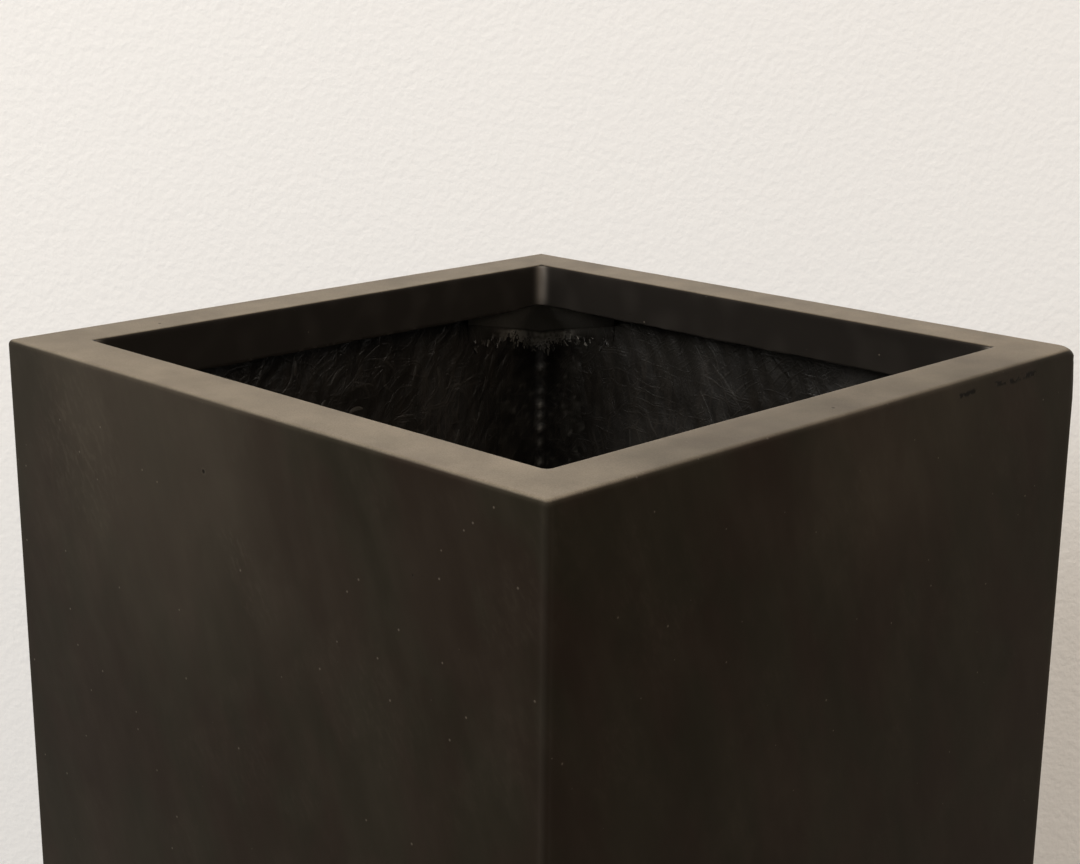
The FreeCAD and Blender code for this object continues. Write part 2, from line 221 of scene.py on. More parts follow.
# weak warm light from all round, and a paler sky where it is seen itself
sky = bpy.data.worlds.new("studio")
scene.world = sky
sky.use_nodes = True
tree = sky.node_tree
tree.nodes.clear()
daylight = add(tree, "ShaderNodeBackground", {"Color": (1.0, 0.90, 0.79, 1), "Strength": 0.22})
pale_sky = add(tree, "ShaderNodeBackground", {"Color": (1.0, 0.96, 0.91, 1), "Strength": 0.62})
sky_mix = add(tree, "ShaderNodeMixShader", {
    0: seen_directly(tree), 1: daylight.outputs[0], 2: pale_sky.outputs[0],
})
add(tree, "ShaderNodeOutputWorld", {"Surface": sky_mix.outputs[0]})


# ---------------------------------------------------------------- gelcoat
# The coloured resin that is sprayed into the mould first, and is the planter's smooth outside: a
# matt charcoal, clouded where it was rubbed and handled, with pinholes, scuffed edges and dust. The
# dust on top is partly a painted sheen, the walls carry painted sheen patches high up, and the lip's
# inside corners a painted highlight.
CHARCOAL = (0.0182, 0.0130, 0.0094)
OLIVE = (0.0162, 0.0142, 0.0094)
# colour of clouds and smears, also used for the painted sheen patches
CLOUDED_AND_SHEEN = (0.0520, 0.0440, 0.0335)
SCUFFED = (0.130, 0.115, 0.098)
WHITENED_AND_HIGHLIGHT = (0.215, 0.195, 0.172)         # where it is rubbed through its skin, and the painted highlight down the lip's inside corners
SPECK = (0.115, 0.100, 0.080)
PIT = (0.003, 0.0025, 0.002)
CLEAN = (0.0170, 0.0150, 0.0132)         # on the lip, where no dust settles
# dust on what faces up, pale enough that on the rim's top it is partly a painted sheen
DUST_AND_SHEEN = (0.218, 0.188, 0.146)
MOULD_PIT = (-0.026, -0.200, 0.864)      # the one large pit, in the front wall
HAND_MARKS = (               # smears on the front wall, and how far they reach
    ((-0.004, -0.200, 0.829), 0.020), ((0.012, -0.200, 0.808), 0.016), ((-0.135, -0.200, 0.855), 0.060),
)
SHEEN_PATCHES = (                    # painted sheen: where a wall is painted lighter high up, how far that reaches and how strong it is
    ((-0.075, -0.200, 0.870), 0.170, 0.65), ((0.200, 0.050, 0.885), 0.130, 0.28),
)
JOINT = 0.892                # height of the joint between rim and walls
VOIDS = ((0.085, 0.104), (0.117, 0.159))     # along the right wall, where the joint filler fell short


def effect(name, takes):
    """A new node group with named inputs and one output, its Mask: the tree, what the inputs give
    and the Mask to fill. An input of None is a place or a direction."""
    tree = bpy.data.node_groups.new(name, "ShaderNodeTree")
    for label, value in takes.items():
        kind = "NodeSocketVector" if value is None else "NodeSocketFloat"
        socket = tree.interface.new_socket(label, in_out="INPUT", socket_type=kind)
        if value is not None:
            socket.default_value = value
    tree.interface.new_socket("Mask", in_out="OUTPUT", socket_type="NodeSocketFloat")
    given = tree.nodes.new("NodeGroupInput").outputs
    return tree, given, tree.nodes.new("NodeGroupOutput").inputs["Mask"]


def use(tree, name, **inputs):
    """The Mask that an effect gives in a material."""
    return add(tree, "ShaderNodeGroup", inputs, node_tree=bpy.data.node_groups[name]).outputs["Mask"]


# soft clouds in a finish: Size is their width, Stretch how much taller than wide they are, and
# Lean how far they lean to one side as they rise
tree, given, mask = effect("clouding", {
    "Place": None, "Size": 0.05, "Stretch": 1.0, "Lean": 0.0, "Low": 0.4, "High": 0.6,
})
spot = add(tree, "ShaderNodeSeparateXYZ", {"Vector": given["Place"]}).outputs
drawn = add(tree, "ShaderNodeCombineXYZ", {
    "X": maths(tree, "MULTIPLY_ADD", spot["Z"], given["Lean"], spot["X"]),
    "Y": maths(tree, "MULTIPLY_ADD", spot["Z"], given["Lean"], spot["Y"]),
    "Z": maths(tree, "DIVIDE", spot["Z"], given["Stretch"]),
}).outputs[0]
cloud = mottle(tree, drawn, maths(tree, "DIVIDE", 1.0, given["Size"]), 4.0, 0.55)
tree.links.new(between(tree, cloud, given["Low"], given["High"]), mask)

# scattered round marks: one cell in every Spacing holds a mark with the chance Share
tree, given, mask = effect("spots", {"Place": None, "Spacing": 0.02, "Share": 0.2, "Radius": 0.0005})
density = maths(tree, "DIVIDE", 1.0, given["Spacing"])
cells = add(tree, "ShaderNodeTexVoronoi", {"Vector": given["Place"], "Scale": density}).outputs
lot = add(tree, "ShaderNodeSeparateColor", {"Color": cells["Color"]}).outputs
reach = maths(tree, "DIVIDE", given["Radius"], given["Spacing"])
sized = maths(tree, "MULTIPLY", reach, maths(tree, "MULTIPLY_ADD", lot["Green"], 0.9, 0.4))
inside = between(tree, cells["Distance"], sized, maths(tree, "MULTIPLY", sized, 0.5))
chosen = maths(tree, "LESS_THAN", lot["Red"], given["Share"])
tree.links.new(maths(tree, "MULTIPLY", inside, chosen), mask)

# one round mark with soft edges, in a known place
tree, given, mask = effect("mark", {"Place": None, "Centre": None, "Radius": 0.001, "Softness": 0.5})
apart = vector_maths(tree, "DISTANCE", given["Place"], given["Centre"])["Value"]
core = maths(tree, "MULTIPLY", given["Radius"], maths(tree, "SUBTRACT", 1.0, given["Softness"]))
tree.links.new(between(tree, apart, given["Radius"], core), mask)

# the joint's filler fell short here: dark gaps in a row along the right wall, from Start to End
tree, given, mask = effect("joint voids", {"Place": None, "Start": 0.0, "End": 0.1})
spot = add(tree, "ShaderNodeSeparateXYZ", {"Vector": given["Place"]}).outputs
wander = mottle(tree, given["Place"], 60.0, 1.0)
level = maths(tree, "MULTIPLY_ADD", wander, 0.004, JOINT - 0.0014)
row = between(tree, maths(tree, "ABSOLUTE", maths(tree, "SUBTRACT", spot["Z"], level)), 0.0022, 0.0005)
lumps = between(tree, mottle(tree, given["Place"], 240.0, 1.5), 0.42, 0.54)
started = between(tree, spot["Y"], given["Start"], maths(tree, "ADD", given["Start"], 0.003))
ended = between(tree, spot["Y"], given["End"], maths(tree, "SUBTRACT", given["End"], 0.003))
on_right_wall = maths(tree, "GREATER_THAN", spot["X"], 0.199)
stretch = maths(tree, "MULTIPLY", maths(tree, "MULTIPLY", started, ended), on_right_wall)
tree.links.new(maths(tree, "MULTIPLY", maths(tree, "MULTIPLY", row, lumps), stretch), mask)

# wear where things rub: Edge is 1 on an edge and fades away from it
tree, given, mask = effect("edge wear", {"Place": None, "Edge": 0.0, "Amount": 0.5})
broken = mottle(tree, given["Place"], 260.0, 5.0, 0.65)
rubbed = mottle(tree, given["Place"], 14.0, 2.0)
worn = maths(tree, "MULTIPLY", maths(tree, "ADD", broken, rubbed), given["Edge"])
tree.links.new(maths(tree, "MULTIPLY", between(tree, worn, 0.72, 1.15), given["Amount"]), mask)

# dust that settles on what faces up
tree, given, mask = effect("dust", {"Place": None, "Facing": None, "Amount": 0.5})
up = add(tree, "ShaderNodeSeparateXYZ", {"Vector": given["Facing"]}).outputs["Z"]
drift = between(tree, mottle(tree, given["Place"], 34.0, 6.0, 0.62), 0.1, 0.85, 0.62, 1.15)
grain = between(tree, mottle(tree, given["Place"], 1400.0, 2.0), 0.25, 0.7, 0.8, 1.1)
laid = maths(tree, "MULTIPLY", maths(tree, "MULTIPLY", between(tree, up, 0.55, 0.98), drift), grain)
tree.links.new(maths(tree, "MULTIPLY", laid, given["Amount"], clamp=True), mask)

gelcoat, tree, output = finish("gelcoat")
place = add(tree, "ShaderNodeTexCoord").outputs["Object"]
facing = add(tree, "ShaderNodeNewGeometry").outputs["Normal"]
edge, rub_and_highlight, clean = (
    add(tree, "ShaderNodeAttribute", attribute_name=name).outputs["Fac"] for name in ("edge", "rub_and_highlight", "clean")
)
tone = use(tree, "clouding", Place=place, Size=0.040, Stretch=1.8, Lean=0.3, Low=0.38, High=0.62)
smudges = use(tree, "clouding", Place=place, Size=0.055, Stretch=2.0, Lean=0.3, Low=0.36, High=0.70)
streaks = use(tree, "clouding", Place=place, Size=0.010, Stretch=16.0, Lean=0.35, Low=0.40, High=0.70)
wisps = use(tree, "clouding", Place=place, Size=0.0030, Stretch=7.0, Lean=0.5, Low=0.46, High=0.70)
handled = use(tree, "clouding", Place=place, Size=0.045, Stretch=1.2, Lean=-0.3, Low=0.50, High=0.66)
specks = use(tree, "spots", Place=place, Spacing=0.0105, Share=0.8, Radius=0.00058)
pits = use(tree, "spots", Place=place, Spacing=0.023, Share=0.5, Radius=0.0009)
chips = use(tree, "spots", Place=place, Spacing=0.0042, Share=0.45, Radius=0.0006)
chips = maths(tree, "MULTIPLY", chips, edge)
first_row, second_row = (use(tree, "joint voids", Place=place, Start=start, End=end) for start, end in VOIDS)
void = maths(tree, "MAXIMUM", first_row, second_row)
big_pit = use(tree, "mark", Place=place, Centre=MOULD_PIT, Radius=0.0013, Softness=0.4)
pit_lip = use(tree, "mark", Place=place, Centre=MOULD_PIT, Radius=0.0026, Softness=0.6)
pits = maths(tree, "MAXIMUM", pits, big_pit)
worn = use(tree, "edge wear", Place=place, Edge=edge, Amount=0.7)
# dust on what faces up; on the rim's top it is partly a painted sheen
dust = use(tree, "dust", Place=place, Facing=facing, Amount=0.85)
dust = maths(tree, "MULTIPLY", dust, maths(tree, "SUBTRACT", 1.0, clean))

clouded_and_sheen = maths(tree, "ADD", maths(tree, "MULTIPLY", smudges, 0.17), maths(tree, "MULTIPLY", streaks, 0.09))
clouded_and_sheen = maths(tree, "MULTIPLY_ADD", maths(tree, "MULTIPLY", wisps, handled), 0.13, clouded_and_sheen)
clouded_and_sheen = maths(tree, "MULTIPLY_ADD", handled, 0.07, clouded_and_sheen)
for centre, size in HAND_MARKS:
    touched = use(tree, "mark", Place=place, Centre=centre, Radius=size, Softness=1.0)
    clouded_and_sheen = maths(tree, "MULTIPLY_ADD", maths(tree, "MULTIPLY", touched, wisps), 0.45, clouded_and_sheen)
# painted sheen: lighter patches high on the front and right walls, mottled with the smudges
for centre, size, density in SHEEN_PATCHES:
    sheen_patch = use(tree, "mark", Place=place, Centre=centre, Radius=size, Softness=1.0)
    clouded_and_sheen = maths(tree, "MULTIPLY_ADD", sheen_patch, maths(tree, "MULTIPLY_ADD", smudges, 0.20, density), clouded_and_sheen)
clouded_and_sheen = maths(tree, "MULTIPLY_ADD", pit_lip, 0.4, clouded_and_sheen)
sheltered = between(tree, clean, 0.5, 0.9)
clouded_and_sheen = maths(tree, "MULTIPLY", clouded_and_sheen, maths(tree, "SUBTRACT", 1.0, sheltered), clamp=True)

colour = tinted(tree, tone, CHARCOAL, OLIVE)
colour = tinted(tree, clouded_and_sheen, colour, CLOUDED_AND_SHEEN)
colour = tinted(tree, sheltered, colour, CLEAN)
colour = tinted(tree, worn, colour, SCUFFED)
colour = tinted(tree, dust, colour, DUST_AND_SHEEN)
# rubbed-through wear, chips, and the painted highlight down the lip's inside corners
colour = tinted(tree, maths(tree, "MAXIMUM", rub_and_highlight, maths(tree, "MULTIPLY", chips, 0.5)), colour, WHITENED_AND_HIGHLIGHT)
colour = tinted(tree, maths(tree, "MULTIPLY", specks, 0.8), colour, SPECK)
holes = maths(tree, "MAXIMUM", maths(tree, "MULTIPLY", pits, 0.85), maths(tree, "MULTIPLY", void, 0.95))
colour = tinted(tree, holes, colour, PIT)
polish = maths(tree, "MULTIPLY_ADD", clouded_and_sheen, 0.10, 0.40)
polish = maths(tree, "MULTIPLY_ADD", dust, 0.10, polish)
tooth = maths(tree, "MULTIPLY", mottle(tree, place, 900.0, 2.0), 0.045)
relief = maths(tree, "ADD", mottle(tree, place, 28.0, 2.0), tooth)
relief = maths(tree, "MULTIPLY_ADD", maths(tree, "MULTIPLY_ADD", void, 0.15, pits), -1.6, relief)
relief = maths(tree, "MULTIPLY_ADD", specks, 0.3, relief)
bumpy = add(tree, "ShaderNodeBump", {"Height": relief, "Strength": 0.5, "Distance": 0.0005})
surface = add(tree, "ShaderNodeBsdfPrincipled", {
    "Base Color": colour, "Roughness": polish, "Normal": bumpy.outputs["Normal"],
    "Specular IOR Level": 0.045, "Specular Tint": (1.0, 0.80, 0.60, 1),
})
tree.links.new(surface.outputs["BSDF"], output.inputs["Surface"])


# ---------------------------------------------------------------- walls
# Four upright walls laid up as one tube in a polished mould, gelcoat outside and glass mat behind
# it. The outer faces run true to a few tenths of a millimetre, no better.
HALF = 0.200
WALL_FOOT = 0.005
WALL_FOOT_ROUND = 0.0012
WALL_ROWS = 90
CAVITY_HALF = 0.1955
CAVITY_ROUND = 0.006
UPRIGHT_ROUND = 0.0026
FLOOR_UNDER = 0.020
STRAIGHT = 0.96              # share of a side that is well away from its corners
CORNER_BAND = 0.003          # and how near to the diagonal a corner is
WORN_ROUND = 0.0062          # of the back right corner, at the rim
WORN_FROM = 0.876            # where its wear begins, going up
WORN_REACH = 0.0126          # how far over the rim's top it goes, in from the corner
WORN_DOWN = 0.0050           # and how far the top is worn down there
RIM_EDGE = 0.008             # height of the rim's outer edge


def ramp(value, reach):
    """Rises from 0 to 1 while a value goes from 0 to its reach."""
    return min(1.0, max(0.0, value / reach))


def bell(distance, reach):
    """1 at no distance, and fading over that reach."""
    return math.exp(-(distance / reach) ** 2)


def square_point(lean, half, radius):
    """Where a ray from the middle, leaning by x/y, meets the back of a rounded square."""
    middle = half - radius
    slope = abs(lean)
    if slope * half <= middle:
        return lean * half, half
    spread = slope * slope + 1
    span = middle * (slope + 1)
    reach = (span + math.sqrt(span * span - spread * (2 * middle * middle - radius * radius))) / spread
    return math.copysign(slope * reach, lean), reach


def leans(pitch):
    """Leans of a back side's columns: even along the straight, and close together at its ends."""
    turn = [0.968, 0.974, 0.979, 0.983, 0.987, 0.990, 0.993, 0.996, 0.998, 1.0]
    count = max(2, round(2 * STRAIGHT * HALF / pitch))
    straight = [-STRAIGHT + 2 * STRAIGHT * i / count for i in range(count + 1)]
    return [-t for t in reversed(turn)] + straight + turn


def bend(middle, height, radius, start, end, steps, corner):
    """Points of a rounded edge, from one angle to another, as (half width, height, corner radius)."""
    points = []
    for i in range(steps + 1):
        angle = math.radians(start + (end - start) * i / steps)
        half = middle + radius * math.cos(angle)
        points.append((half, height + radius * math.sin(angle), corner(half)))
    return points


def carry_round(bm, verts, quarter):
    """Turns what was made at the back, or at the back right corner, round to another quarter."""
    bmesh.ops.rotate(bm, verts=verts, matrix=Matrix.Rotation(math.pi / 2 * quarter, 3, "Z"))


def run_round(outline, columns, quarters=4):
    """Mesh with the outline (half width, height, corner radius) carried along the back side, and
    turned copies of it on as many sides more."""
    bm = bmesh.new()
    wide, high = len(columns) - 1, len(outline) - 1
    bmesh.ops.create_grid(bm, x_segments=wide, y_segments=high, size=0.5)
    for vert in bm.verts:
        half, height, radius = outline[round((vert.co.y + 0.5) * high)]
        x, y = square_point(columns[round((vert.co.x + 0.5) * wide)], half, radius)
        vert.co = (x, y, height)
    first = bm.verts[:] + bm.edges[:] + bm.faces[:]
    for quarter in range(1, quarters):
        copy = bmesh.ops.duplicate(bm, geom=first)["geom"]
        carry_round(bm, [v for v in copy if isinstance(v, bmesh.types.BMVert)], quarter)
    bmesh.ops.remove_doubles(bm, verts=bm.verts, dist=1e-6)
    return bm


def wobble(place, size, seed):
    """Smooth noise from -1 to 1, with waves of that size."""
    return noise.noise(place / size + Vector((seed * 7.31, seed * 3.17, seed * 5.53)))


def out_of_true(place):
    """How far a moulded outer face lies inside its true plane."""
    return 0.00010 * (1 + wobble(place, 0.11, 1)) + 0.00004 * (1 + wobble(place, 0.034, 2))


def outward(place):
    """Level direction out of the nearest side, or out of the corner between two."""
    near, far = sorted((abs(place.x), abs(place.y)))
    out_x, out_y = math.copysign(1, place.x), math.copysign(1, place.y)
    if near < far - CORNER_BAND:
        return Vector((out_x, 0, 0)) if abs(place.x) > abs(place.y) else Vector((0, out_y, 0))
    return Vector((out_x, out_y, 0)).normalized()


def made_piece(bm, name, material, body="planter", replaces=(), sharp=40):
    """A finished piece from a mesh: smooth but for its sharp edges, riding on its body."""
    mesh = bpy.data.meshes.new(name)
    bm.to_mesh(mesh)
    bm.free()
    mesh.shade_smooth()
    mesh.set_sharp_from_angle(angle=math.radians(sharp))
    mesh.materials.append(material)
    made = bpy.data.objects.new(name, mesh)
    scene.collection.objects.link(made)
    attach(made, body)
    if replaces:
        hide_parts(*replaces)


def knock_round(vert):
    """Wears the back right corner round near the rim, and its top down."""
    worn = ramp(vert.co.z - WORN_FROM, 0.020)
    away = 2 * HALF - vert.co.x - vert.co.y
    if vert.co.z > JOINT and away < WORN_REACH:
        lowered = WORN_DOWN * (1 - math.sqrt(1 - min(1.0, (WORN_REACH - away) / 0.009) ** 2))
        vert.co.z -= lowered * (vert.co.z - JOINT) / RIM_EDGE
    if min(vert.co.x, vert.co.y) < HALF - WORN_ROUND:
        return
    middle = Vector((HALF - WORN_ROUND, HALF - WORN_ROUND, vert.co.z))
    reach = (vert.co - middle).length
    if reach > WORN_ROUND:
        vert.co = middle + (vert.co - middle) * (1 + (WORN_ROUND / reach - 1) * worn)


def upright_corner(half):
    return max(0.0004, UPRIGHT_ROUND - (HALF - half))


def edge_rub(place):
    """How far an upright edge is rubbed: most at the back right."""
    return 0.20 if place.x > 0 and place.y > 0 else 0.07


foot_bend = WALL_FOOT + WALL_FOOT_ROUND
above_foot = foot_bend + 0.0002
wall_heights = [JOINT + (above_foot - JOINT) * i / WALL_ROWS for i in range(WALL_ROWS + 1)]
wall_outline = [(HALF, z, UPRIGHT_ROUND) for z in wall_heights]
wall_outline += bend(
    HALF - WALL_FOOT_ROUND, foot_bend, WALL_FOOT_ROUND, 0, -90, 3, lambda half: UPRIGHT_ROUND,
)
wall_outline += [(CAVITY_HALF + recess, z, CAVITY_ROUND) for recess, z in (
    (0.0008, WALL_FOOT), (0, WALL_FOOT + 0.0008), (0, FLOOR_UNDER + 0.002), (0.0008, FLOOR_UNDER + 0.003),
    (0.0008, JOINT),
)]
wall_outline.append((HALF, JOINT, UPRIGHT_ROUND))
bm = run_round(wall_outline, leans(0.008))
bmesh.ops.recalc_face_normals(bm, faces=bm.faces)
edge_mark = bm.verts.layers.float.new("edge")
rub_and_highlight_mark = bm.verts.layers.float.new("rub_and_highlight")
for vert in bm.verts:
    corner = math.hypot(abs(vert.co.x) - HALF, abs(vert.co.y) - HALF)
    vert[edge_mark] = max(0.85 * bell(corner, 0.0022), bell(vert.co.z - WALL_FOOT, 0.003))
    vert[rub_and_highlight_mark] = edge_rub(vert.co) * bell(corner, 0.0032)
    if max(abs(vert.co.x), abs(vert.co.y)) > HALF - 0.002:
        vert.co -= outward(vert.co) * out_of_true(vert.co)
        knock_round(vert)
made_piece(bm, "walls", gelcoat, replaces=["wall_shell"])


# ---------------------------------------------------------------- rim
# The rim is moulded on its own and bonded on: a flat flange, a short outer edge and a return lip,
# hollow below. Its top is dusty, with a painted sheen in that dust, and both are less towards the
# right. Its edges are scuffed, and its lip is faintly smudged and trimmed by hand, with a painted
# highlight down each of its inside corners.
RIM_TOP = 0.900
RIM_ROUND = 0.0028
MOUTH_HALF = 0.168
MOUTH_ROUND = 0.0015
MOUTH_CORNER = 0.0034
LIP_FOOT = 0.873
LIP_BACK_HALF = 0.1715
LIP_BACK_CORNER = 0.0065
FLANGE_UNDER = 0.895
HOLLOW_ROUND = 0.003         # between lip and flange, in the hollow of the rim


def top_corner(half):
    """Corner radius over the top: sharp outside, opening to the mouth's own."""
    return 0.0006 + 0.0034 * ramp(HALF - half, HALF - MOUTH_HALF)


hollow_bend = FLANGE_UNDER - HOLLOW_ROUND
rim_outline = [(HALF, z, UPRIGHT_ROUND) for z in (JOINT, 0.8926, 0.8933, 0.8941, 0.8960)]
rim_outline += bend(HALF - RIM_ROUND, RIM_TOP - RIM_ROUND, RIM_ROUND, 0, 90, 7, upright_corner)
rim_outline += [(half / 1000, RIM_TOP, top_corner(half / 1000)) for half in (
    196.2, 194.5, 192, 189, 186, 183, 180, 177, 174, 172, 170.6,
)]
rim_outline += bend(MOUTH_HALF + MOUTH_ROUND, RIM_TOP - MOUTH_ROUND, MOUTH_ROUND, 90, 180, 5, top_corner)
rim_outline += [(MOUTH_HALF, z / 1000, MOUTH_CORNER) for z in (
    896.5, 894, 891, 888, 885, 882, 879, 876.5, 874.6, 873.6,
)]
rim_outline += [
    (MOUTH_HALF + 0.0004, LIP_FOOT + 0.0001, MOUTH_CORNER), (MOUTH_HALF + 0.0018, LIP_FOOT, 0.0048),
    (LIP_BACK_HALF - 0.0003, LIP_FOOT, 0.0062),
]
rim_outline += [(LIP_BACK_HALF, z, LIP_BACK_CORNER) for z in (LIP_FOOT + 0.0004, 0.882, hollow_bend)]
rim_outline += bend(LIP_BACK_HALF + HOLLOW_ROUND, hollow_bend, HOLLOW_ROUND, 180, 90, 3, lambda half: 0.0095)
rim_outline += [(0.185, FLANGE_UNDER, CAVITY_ROUND), (CAVITY_HALF, FLANGE_UNDER, CAVITY_ROUND)]
rim_outline += [(CAVITY_HALF, JOINT, CAVITY_ROUND), (HALF, JOINT, UPRIGHT_ROUND)]
bm = run_round(rim_outline, leans(0.002))
bmesh.ops.recalc_face_normals(bm, faces=bm.faces)
edge_mark = bm.verts.layers.float.new("edge")
rub_and_highlight_mark = bm.verts.layers.float.new("rub_and_highlight")
clean_mark = bm.verts.layers.float.new("clean")
for vert in bm.verts:
    place = vert.co.copy()
    half = max(abs(place.x), abs(place.y))
    corner = math.hypot(abs(place.x) - HALF, abs(place.y) - HALF)
    outer = math.hypot(HALF - half, RIM_TOP - place.z)
    inner = math.hypot(half - MOUTH_HALF, RIM_TOP - place.z)
    vert[edge_mark] = 0.78 * max(bell(corner, 0.003), bell(outer, 0.0019), 0.8 * bell(inner, 0.0014))
    # less dust, and so less painted sheen, towards the right of the rim's top
    less_dust_right = ramp(place.x - 0.150, 0.03) * ramp(0.19 - abs(place.y), 0.06)
    vert[clean_mark] = less_dust_right * (0.41 + 0.12 * wobble(place, 0.03, 9)) + 0.05 * (1 + wobble(place, 0.018, 10))
    if half < MOUTH_HALF + 0.0005:
        vert[clean_mark] = 0.9
    below_top = place.z < RIM_TOP - 0.001
    vert[rub_and_highlight_mark] = edge_rub(place) * bell(corner, 0.0032) if below_top else 0.0
    # painted highlight: a pale band down each inside corner of the lip, fading towards its foot, with faint
    # smudges over the lip
    if below_top and half < MOUTH_HALF + 0.001:
        inside_corner = math.hypot(abs(place.x) - MOUTH_HALF + 0.0010, abs(place.y) - MOUTH_HALF + 0.0010)
        faded = min(1.0, 0.45 + (place.z - LIP_FOOT) / 0.009)
        vert[rub_and_highlight_mark] = faded * (0.95 + 0.2 * wobble(place, 0.009, 8)) * bell(inside_corner, 0.0036)
        vert[rub_and_highlight_mark] += 0.045 * max(0.0, wobble(place, 0.016, 11))
    if half > HALF - 0.004:
        vert.co -= outward(place) * out_of_true(place)
    knock_round(vert)
    if place.z > RIM_TOP - 0.004:
        vert.co.z -= 0.00011 * (1 + wobble(place, 0.06, 3)) + 0.00004 * (1 + wobble(place, 0.012, 4))
    on_lip = half < LIP_BACK_HALF + 0.001
    if on_lip and place.z < RIM_TOP - 0.004:
        vert.co -= outward(place) * (0.00022 * wobble(place, 0.05, 5))
    if on_lip and place.z < LIP_FOOT + 0.0012:
        vert.co.z += 0.0004 + 0.0005 * wobble(place, 0.022, 6) + 0.00035 * wobble(place, 0.0045, 7)
        if place.x < -MOUTH_HALF + 0.0005:
            vert.co.z -= 0.0012 * ramp(0.160 - abs(place.y), 0.02)
made_piece(bm, "rim", gelcoat, replaces=["rim_ring"])


# ---------------------------------------------------------------- laminate
# What the gelcoat is backed with: chopped glass mat rolled down wet with resin, and brushed over
# with one coat of semi-gloss black. The strands stand through the paint and are bare here and there.
# The same pale colour also paints light: paler tops on three raw walls, a painted fill on the
# gussets' bridges and a painted glint on the resin drops.
PAINTED = (0.0072, 0.0060, 0.0046)
THIN_PAINT = (0.034, 0.028, 0.022)
BARE_GLASS_AND_LIGHT = (0.380, 0.360, 0.315)
CAVITY_DUST = (0.075, 0.058, 0.040)

# strands in several layers, each a share of long cells in one direction
tree, given, mask = effect("chopped strands", {"Lay": None, "Length": 0.030, "Width": 0.0013, "Share": 0.4})
sway = add(tree, "ShaderNodeTexNoise", {"Vector": given["Lay"], "Scale": 45.0, "Detail": 1.0})
swayed = vector_maths(tree, "MULTIPLY", sway.outputs["Color"], (0.012, 0.012, 0.0))["Vector"]
swayed = vector_maths(tree, "ADD", given["Lay"], swayed)["Vector"]
cell_size = add(tree, "ShaderNodeCombineXYZ", {
    "X": maths(tree, "DIVIDE", 1.0, given["Width"]), "Y": maths(tree, "DIVIDE", 1.0, given["Length"]),
}).outputs[0]
shown = 0.0
for layer, degrees in enumerate((8, -28, 47, 96)):
    turn = {"Vector": swayed, "Angle": math.radians(degrees)}
    turned = add(tree, "ShaderNodeVectorRotate", turn, rotation_type="Z_AXIS").outputs["Vector"]
    long_cells = vector_maths(tree, "MULTIPLY", turned, cell_size)["Vector"]
    shifted = vector_maths(tree, "ADD", long_cells, (layer * 13.7, layer * 7.9, 0.0))["Vector"]
    spaced = {"Vector": shifted, "Scale": 1.0}
    cell = add(tree, "ShaderNodeTexVoronoi", spaced, voronoi_dimensions="2D").outputs
    lot = add(tree, "ShaderNodeSeparateColor", {"Color": cell["Color"]}).outputs
    chosen = maths(tree, "LESS_THAN", lot["Red"], given["Share"])
    strand = maths(tree, "MULTIPLY", between(tree, cell["Distance"], 0.6, 0.2), chosen)
    strand = maths(tree, "MULTIPLY", strand, maths(tree, "MULTIPLY_ADD", lot["Green"], 0.7, 0.3))
    shown = maths(tree, "MAXIMUM", strand, shown)
tree.links.new(shown, mask)

laminate, tree, output = finish("laminate")
place = add(tree, "ShaderNodeTexCoord").outputs["Object"]
facing = add(tree, "ShaderNodeNewGeometry").outputs["Normal"]
lay = add(tree, "ShaderNodeAttribute", attribute_name="lay").outputs["Vector"]
bare_and_painted_light = add(tree, "ShaderNodeAttribute", attribute_name="bare_and_painted_light").outputs["Fac"]
pressed = use(tree, "chopped strands", Lay=lay, Length=0.026, Width=0.0017, Share=0.32)
patches = use(tree, "clouding", Place=place, Size=0.045, Stretch=1.6, Low=0.40, High=0.68)
brushed = use(tree, "clouding", Place=place, Size=0.006, Stretch=5.0, Low=0.45, High=0.7)
dust = use(tree, "dust", Place=place, Facing=facing, Amount=0.35)
thin = maths(tree, "MULTIPLY", pressed, maths(tree, "MULTIPLY_ADD", patches, 0.35, 0.08))
thin = maths(tree, "MULTIPLY_ADD", brushed, 0.22, thin, clamp=True)
colour = tinted(tree, thin, PAINTED, THIN_PAINT)
# bare glass, and painted light where the sheets carry it
colour = tinted(tree, bare_and_painted_light, colour, BARE_GLASS_AND_LIGHT)
colour = tinted(tree, dust, colour, CAVITY_DUST)
gloss = maths(tree, "MULTIPLY_ADD", patches, 0.16, 0.38)
gloss = maths(tree, "MULTIPLY_ADD", bare_and_painted_light, 0.2, gloss)
grit = maths(tree, "MULTIPLY", mottle(tree, place, 420.0, 4.0, 0.6), 0.6)
relief = maths(tree, "MULTIPLY_ADD", pressed, 0.25, grit)
bumpy = add(tree, "ShaderNodeBump", {"Height": relief, "Strength": 0.6, "Distance": 0.0008})
surface = add(tree, "ShaderNodeBsdfPrincipled", {
    "Base Color": colour, "Roughness": gloss, "Normal": bumpy.outputs["Normal"], "Specular IOR Level": 0.5,
})
tree.links.new(surface.outputs["BSDF"], output.inputs["Surface"])


# ---------------------------------------------------------------- raw inner faces
# The inside of each wall as the roller left it: lumps of resin, ridges of mat and loose strands.
# On the left wall the strands curl every way, and on the others they lie mostly up and down.
SIDES = ("back", "left", "front", "right")
RAW_TOP = 0.894
RAW_FOOT = 0.0285
FINE_DEPTH = 0.152           # how far down from the top the rows lie close together
LOW_ROWS = 96                # from there down to the foot
STRAND_STEPS = 8
WALL_STRANDS = {"back": 60, "left": 800, "front": 400, "right": 400}


def face_inward(bm):
    """Turns the faces of a sheet to look into the planter."""
    bm.normal_update()
    if sum(outward(f.calc_center_median()).dot(f.normal) for f in bm.faces) > 0:
        bmesh.ops.reverse_faces(bm, faces=bm.faces)


